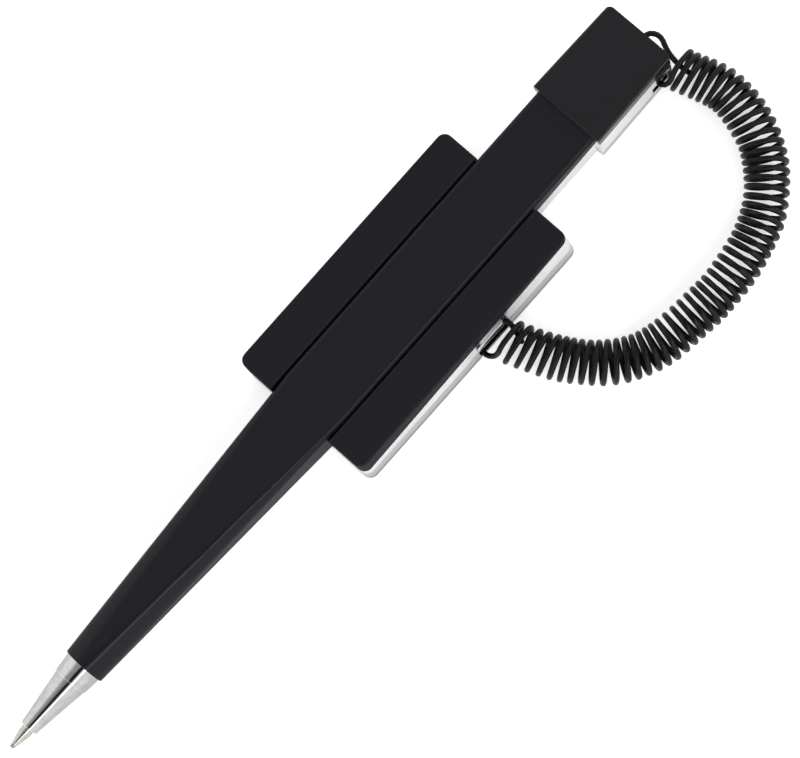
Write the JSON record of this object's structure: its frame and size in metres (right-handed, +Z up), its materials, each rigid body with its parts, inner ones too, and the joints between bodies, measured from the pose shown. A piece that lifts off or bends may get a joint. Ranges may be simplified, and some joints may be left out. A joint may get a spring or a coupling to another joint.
{
  "type": "counter pen",
  "caption": "Black ball pen with a square-section body, lying in a stick-on plated holder with two black rails and tied to it by a curly security cord.",
  "frame": {"origin": "middle of the holder's underside, where its foam pad and liner lie on the counter", "axes": "+X along the pen from the writing tip to the cap, +Y across to the side away from the cord, +Z up"},
  "size_m": [0.1668, 0.0562, 0.0134],
  "materials": {
    "black_gloss": "polished black moulded plastic",
    "plated_shell": "bright chrome plating on moulded plastic",
    "plated_nose": "polished plated brass",
    "screw_steel": "plain zinc-plated steel",
    "foam_tape": "white foam tape",
    "liner_paper": "waxed paper",
    "bush_brass": "turned brass",
    "inner_plastic": "plain black moulding",
    "point_metal": "turned nickel silver",
    "ball_carbide": "ground tungsten carbide",
    "adapter_plastic": "natural moulded plastic",
    "tube_plastic": "translucent extruded plastic",
    "ink_blue": "thick blue-black ink paste",
    "grease": "clear yellowish grease",
    "cord_plastic": "smooth black extruded plastic"
  },
  "bodies": {
    "holder": {"holder_base": "plated_shell", "rail_left": "black_gloss", "rail_right": "black_gloss", "rail_screws": "screw_steel", "adhesive_pad": "foam_tape", "release_liner": "liner_paper", "cord_pin": "screw_steel", "coil_cord": "cord_plastic", "cord_loop_holder": "cord_plastic", "cord_loop_cap": "cord_plastic"},
    "pen": {"barrel_upper": "black_gloss", "barrel_lower": "plated_shell", "nose_bush": "bush_brass", "rear_plug": "inner_plastic", "cap_upper": "black_gloss", "cap_lower": "plated_shell"},
    "refill": {"refill_point": "point_metal", "refill_adapter": "adapter_plastic", "refill_tube": "tube_plastic", "ink": "ink_blue", "grease_plug": "grease"},
    "nose": {"nose_cone": "plated_nose"},
    "ball": {"writing_ball": "ball_carbide"}
  },
  "joints": [
    {"name": "pen_lift", "type": "slide", "parent": "holder", "child": "pen", "axis": [0, 0, 1], "range_m": [0, 0.03], "deforming": ["coil_cord", "cord_loop_cap"]},
    {"name": "refill_draw", "type": "slide", "parent": "pen", "child": "refill", "axis": [-1, 0, 0], "range_m": [0, 0.006]},
    {"name": "nose_unscrew", "type": "hinge", "parent": "refill", "child": "nose", "pos_m": [-0.085, 0, 0.0075], "axis": [1, 0, 0], "range_deg": [0, 2165]},
    {"name": "ball_roll", "type": "hinge", "parent": "refill", "child": "ball", "pos_m": [-0.0995, 0, 0.0075], "axis": [0, 1, 0], "continuous": true}
  ],
  "couplings": [
    {"joint": "nose_unscrew", "follows": "refill_draw", "rad_per_m": 6283.2}
  ]
}
